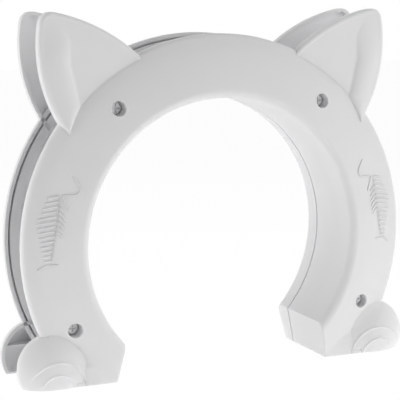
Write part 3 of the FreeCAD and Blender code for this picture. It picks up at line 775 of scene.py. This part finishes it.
def paw_surface(ring, paw, relief, side, hand):
    """A dome round a paw's centre, cut level at the floor, with raised toe lines and a hollow back.

    Inside the ring the dome runs into the ring's face through a filled crease. The toe lines are
    parts of circles, which fade in at the outer side and run to the floor at the inner side."""
    count, steps = 180, 64
    around = np.linspace(0, math.tau, count, endpoint=False)[:, None]
    to_floor = paw.height / np.maximum(-np.sin(around), 1e-6)
    reach = np.minimum(paw.radius, to_floor)
    share = np.linspace(0, 1, steps)[None, :] ** 0.8
    x = reach * share * np.cos(around)
    z = paw.height + reach * share * np.sin(around)
    away = np.clip(reach * share / paw.radius, 0, 1)
    dome = dome_depth(ring, paw, away)
    reach_out = np.hypot(paw.x + x, z - ring.rise)
    inside_ring = soft_step(*(ring.outer - away_in for away_in in PAW_MERGE), reach_out)
    merged = soft_maximum(dome, face_depth(ring, paw.x + x, z) - UNDER_FACE, PAW_BLEND)
    dome = dome + (merged - dome) * inside_ring
    toe = np.hypot(x, z - paw.toe_height)
    turned = np.degrees(np.arctan2(z - paw.toe_height, x))
    window = soft_step(*TOE_FADE, turned)
    lines = sum(np.exp(-((toe - radius) / (paw.toe_width / 2)) ** 2)
                for radius in (paw.toe_outer, paw.toe_inner))
    dome = dome + relief * lines * window
    shrink = np.maximum(1 - ring.wall / reach, 0.05)
    inside = np.clip(reach * shrink * share / paw.radius, 0, 1)
    hollow = dome_depth(ring, paw, inside) - ring.wall
    back_x = x * shrink
    back_z = paw.height + (z - paw.height) * shrink
    edge = dome[:, -1:] * np.array([[0.66, 0.33, 0.0]])
    away_x = hand * (paw.x + x)
    back_x = hand * (paw.x + back_x)
    runs = [
        placed(away_x, dome, z, side, ring.gap),
        placed(away_x[:, -1:], edge, z[:, -1:], side, ring.gap),
        placed(back_x[:, -1:], np.zeros((count, 1)), back_z[:, -1:], side, ring.gap),
        placed(back_x, hollow, back_z, side, ring.gap)[:, ::-1],
    ]
    return swept(np.concatenate(runs, axis=1), rows_close=True, columns_close=False, capped=False)


# Fish bone

def bone_routes(bone):
    """The raised lines of a leg, each with its share of the relief.

    They are a faint spine, ribs that grow to the widest and shrink again, short ribs on the other
    side, and the lines of tail, fin and head."""
    top = np.array([bone.x, bone.top])
    fall = np.array([bone.lean, -bone.length])
    count = int(bone.length / bone.pitch)
    slant = math.tan(bone.slant)
    routes = [(BONE_FAINT, np.array([top, top + fall]))]
    for order in range(count):
        share = order / (count - 1)
        root = top + fall * share
        reach = np.interp(share, [0, 0.35, 1], [bone.first, bone.widest, bone.last])
        routes.append((BONE_FULL, np.array([root, root + reach * np.array([1, -slant])])))
        if 0.1 < share < 0.6:
            routes.append((BONE_HALF, np.array([root, root + reach * np.array([-0.36, -0.4])])))
    for line in BONE_LINES:
        routes.append((BONE_HALF, top + np.array(line) * 0.001))
    return routes


def rounded_route(route, count):
    """A route's corners rounded: each place is an average over its neighbours along the route."""
    lengths = np.append(0, np.cumsum(np.linalg.norm(np.diff(route, axis=0), axis=1)))
    even = np.linspace(0, lengths[-1], count)
    path = np.stack([np.interp(even, lengths, route[:, axis]) for axis in (0, 1)], axis=-1)
    for _ in range(8):
        path[1:-1] = (path[:-2] + 2 * path[1:-1] + path[2:]) / 4
    return path


def bone_surface(ring, bone, side, hand):
    """Each line is a half-round bead that follows the crown and tapers at its ends."""
    across = np.linspace(-1, 1, 9)
    swell = np.append(np.sqrt(1 - across ** 2), [0, 0])
    across = np.append(across, [0.9, -0.9])
    sunk = np.append(np.zeros(9), [1, 1])
    parts = []
    for relief, route in bone_routes(bone):
        size = np.linalg.norm(np.diff(route, axis=0), axis=1).sum()
        count = max(6, int(size / 0.0006))
        path = rounded_route(route, count)
        tangent = np.gradient(path, axis=0)
        tangent /= np.linalg.norm(tangent, axis=1)[:, None]
        taper = np.sqrt(np.clip(1 - np.abs(np.linspace(-1, 1, count)) ** 8, 0.05, 1))[:, None]
        half = bone.width / 2 * taper
        x = path[:, :1] - tangent[:, 1:] * across * half
        z = path[:, 1:] + tangent[:, :1] * across * half
        depth = face_depth(ring, x, z) + relief * bone.relief * swell * taper - SUNK * sunk - UNDER_FACE / 2
        parts.append(swept(placed(hand * x, depth, z, side, ring.gap)))
    return joined(parts)


# Operators

def add_moulded(scene, name, surface, half):
    """A piece of white plastic that rides on its half and stands for part of that half's moulding."""
    material = shared_material("moulded_plastic", moulded_plastic, scene.catpass_finishes)
    made = piece(name, surface, BODIES[half], material)
    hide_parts(half + "_frame")


class CATPASS_OT_rings(bpy.types.Operator):
    """The two crowned rings with their feet, screw wells and sleeves"""
    bl_idname = "catpass.rings"
    bl_label = "Rings"

    def execute(self, context):
        scene = context.scene
        for half, side in SIDES.items():
            surface = ring_surface(scene.catpass_ring, scene.catpass_wells, side)
            add_moulded(scene, half + "_ring", surface, half)
        return {"FINISHED"}


class CATPASS_OT_ribs(bpy.types.Operator):
    """The radial ribs, the land inside the rim and the paw shelves of each half"""
    bl_idname = "catpass.ribs"
    bl_label = "Ribs"

    def execute(self, context):
        scene = context.scene
        for half, side in SIDES.items():
            add_moulded(scene, half + "_ribs", rib_surface(scene.catpass_ring, side), half)
            add_moulded(scene, half + "_land", land_surface(scene.catpass_ring, side), half)
            for hand_name, hand in HANDS.items():
                surface = shelf_surface(scene.catpass_ring, scene.catpass_paws, side, hand)
                add_moulded(scene, "%s_shelf_%s" % (half, hand_name), surface, half)
        return {"FINISHED"}


class CATPASS_OT_ears(bpy.types.Operator):
    """The four ears, each with a rounded edge and a convex outer lobe"""
    bl_idname = "catpass.ears"
    bl_label = "Ears"

    def execute(self, context):
        scene = context.scene
        for half, side in SIDES.items():
            for hand_name, hand in HANDS.items():
                surface = ear_surface(scene.catpass_ring, scene.catpass_ears, side, hand)
                add_moulded(scene, "%s_ear_%s" % (half, hand_name), surface, half)
        return {"FINISHED"}


class CATPASS_OT_paws(bpy.types.Operator):
    """The four domed paws with their raised toe lines"""
    bl_idname = "catpass.paws"
    bl_label = "Paws"

    def execute(self, context):
        scene = context.scene
        relief = scene.catpass_bones.relief
        for half, side in SIDES.items():
            for hand_name, hand in HANDS.items():
                surface = paw_surface(scene.catpass_ring, scene.catpass_paws, relief, side, hand)
                add_moulded(scene, "%s_paw_%s" % (half, hand_name), surface, half)
        return {"FINISHED"}


class CATPASS_OT_bones(bpy.types.Operator):
    """The raised fish bones on the front's two legs"""
    bl_idname = "catpass.bones"
    bl_label = "Fish bones"

    def execute(self, context):
        scene = context.scene
        for hand_name, hand in HANDS.items():
            surface = bone_surface(scene.catpass_ring, scene.catpass_bones, SIDES["front"], hand)
            add_moulded(scene, "fish_bone_" + hand_name, surface, "front")
        return {"FINISHED"}


class CATPASS_OT_fixings(bpy.types.Operator):
    """The zinc plated screws and sleeve nuts"""
    bl_idname = "catpass.fixings"
    bl_label = "Screws and nuts"

    def execute(self, context):
        material = shared_material("zinc_plate", zinc_plate, context.scene.catpass_finishes)
        for name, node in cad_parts.items():
            if not name.endswith("_frame"):
                node.data.materials.clear()
                node.data.materials.append(material)
        return {"FINISHED"}


class CATPASS_OT_stage(bpy.types.Operator):
    """The camera, the white tent, the two lamps and the pale floor"""
    bl_idname = "catpass.stage"
    bl_label = "Stage"

    def execute(self, context):
        studio = context.scene.catpass_studio
        place_camera(context.scene, studio)
        light_world(context.scene, studio)
        for name, (size, spot, target) in LAMPS.items():
            hang_lamp(name, getattr(studio, name), size, spot, target)
        lay_floor(studio)
        return {"FINISHED"}


# Stage

def place_camera(scene, studio):
    """A camera whose axes come from its yaw, pitch and roll."""
    yaw, pitch, roll = studio.yaw, studio.pitch, studio.roll
    ahead = Vector((math.sin(yaw) * math.cos(pitch), math.cos(yaw) * math.cos(pitch), math.sin(pitch)))
    right = Vector((math.cos(yaw), -math.sin(yaw), 0))
    above = right.cross(ahead)
    across = right * math.cos(roll) + above * math.sin(roll)
    upwards = above * math.cos(roll) - right * math.sin(roll)
    lens = bpy.data.cameras.new("camera")
    lens.lens = studio.lens
    lens.sensor_width = 36
    lens.clip_start = 0.01
    camera = bpy.data.objects.new("camera", lens)
    turned = Matrix((across, upwards, -ahead)).transposed().to_4x4()
    camera.matrix_world = Matrix.Translation(studio.place) @ turned
    scene.collection.objects.link(camera)
    scene.camera = camera
    scene.view_settings.view_transform = "Standard"


def light_world(scene, studio):
    """A white tent, brighter behind and at the right and darker above, but plain white to the camera."""
    world = bpy.data.worlds.new("tent")
    world.use_nodes = True
    scene.world = world
    shader = Shader(world.node_tree)
    direction = shader.node("ShaderNodeTexCoord").outputs["Generated"]
    parts = shader.node("ShaderNodeSeparateXYZ", None, {"Vector": direction})
    right, back, above = (Number(shader, parts.outputs[axis]) for axis in "XYZ")
    level = right * studio.tent_right + back * studio.tent_back - above * studio.tent_above + studio.tent
    white = white_rays(shader)
    strength = level * (1 - white) + white
    glow = shader.node("ShaderNodeBackground", None, {"Color": (1, 1, 1, 1), "Strength": strength})
    shader.node("ShaderNodeOutputWorld", None, {"Surface": glow.outputs[0]})


def hang_lamp(name, power, size, spot, target):
    """A square soft lamp at a spot, turned towards a target."""
    lamp = bpy.data.lights.new(name, "AREA")
    lamp.energy = power
    lamp.size = size
    hung = bpy.data.objects.new(name, lamp)
    away = Vector(spot) - Vector(target)
    hung.matrix_world = Matrix.Translation(spot) @ away.to_track_quat("Z", "Y").to_matrix().to_4x4()
    bpy.context.scene.collection.objects.link(hung)


def lay_floor(studio):
    """A wide pale floor that keeps a faint shadow, is otherwise white, and glows a little near by as painted
    light on the object's lower parts.
    """
    size = FLOOR_REACH
    mesh = bpy.data.meshes.new("floor")
    mesh.from_pydata([(-size, -size, 0), (size, -size, 0), (size, size, 0), (-size, size, 0)], [],
                     [(0, 1, 2, 3)])
    floor = bpy.data.objects.new("floor", mesh)
    bpy.context.scene.collection.objects.link(floor)
    material, shader = new_material("pale_floor")
    seen = white_rays(shader) * studio.pale
    place = shader.node("ShaderNodeTexCoord").outputs["Object"]
    away = shader.number("ShaderNodeVectorMath", "Value", {"operation": "LENGTH"}, {0: place})
    # Painted falloff of light: the floor's colour darkens away from the object.
    start, end = FLOOR_FADE
    far = shader.number("ShaderNodeMapRange", 0, None, {"Value": away, 1: start, 2: end, 3: 0.0, 4: 1.0})
    grey = shader.mix(far, opaque(FLOOR_NEAR), opaque(FLOOR_FAR))
    matte = shader.node("ShaderNodeBsdfDiffuse", None, {"Color": grey})
    # Painted light: an emission on the floor that fades with distance and lights the object's lower parts
    # from below.
    floor_glow = (studio.floor_glow,) * 3
    shine = shader.node("ShaderNodeEmission", None, {"Color": shader.mix(far, opaque(floor_glow), (0, 0, 0, 1))})
    lit = shader.node("ShaderNodeAddShader", None, {0: matte.outputs[0], 1: shine.outputs[0]})
    white = shader.node("ShaderNodeEmission", None, {"Color": (1, 1, 1, 1), "Strength": 1.0})
    mixed = shader.node("ShaderNodeMixShader", None, {0: seen, 1: lit.outputs[0], 2: white.outputs[0]})
    shader.node("ShaderNodeOutputMaterial", None, {"Surface": mixed.outputs[0]})
    mesh.materials.append(material)


class CATPASS_PT_panel(bpy.types.Panel):
    """The cat pass, piece by piece"""
    bl_label = "Cat pass"
    bl_idname = "CATPASS_PT_panel"
    bl_space_type = "VIEW_3D"
    bl_region_type = "UI"
    bl_category = "Cat pass"

    def draw(self, context):
        for operator in OPERATORS:
            self.layout.operator(operator.bl_idname)


GROUPS = {
    "catpass_ring": RingSizes,
    "catpass_wells": WellSizes,
    "catpass_ears": EarSizes,
    "catpass_paws": PawSizes,
    "catpass_bones": BoneSizes,
    "catpass_finishes": Finishes,
    "catpass_studio": Studio,
}
OPERATORS = [CATPASS_OT_rings, CATPASS_OT_ribs, CATPASS_OT_ears, CATPASS_OT_paws, CATPASS_OT_bones,
             CATPASS_OT_fixings, CATPASS_OT_stage]


def register():
    for made in [*GROUPS.values(), *OPERATORS, CATPASS_PT_panel]:
        bpy.utils.register_class(made)
    for name, group in GROUPS.items():
        setattr(bpy.types.Scene, name, bpy.props.PointerProperty(type=group))


def unregister():
    for name in GROUPS:
        delattr(bpy.types.Scene, name)
    for made in [CATPASS_PT_panel, *OPERATORS[::-1], *list(GROUPS.values())[::-1]]:
        bpy.utils.unregister_class(made)


def main():
    register()
    bpy.ops.catpass.rings()
    bpy.ops.catpass.ribs()
    bpy.ops.catpass.ears()
    bpy.ops.catpass.paws()
    bpy.ops.catpass.bones()
    bpy.ops.catpass.fixings()
    bpy.ops.catpass.stage()


if __name__ == "__main__":
    main()
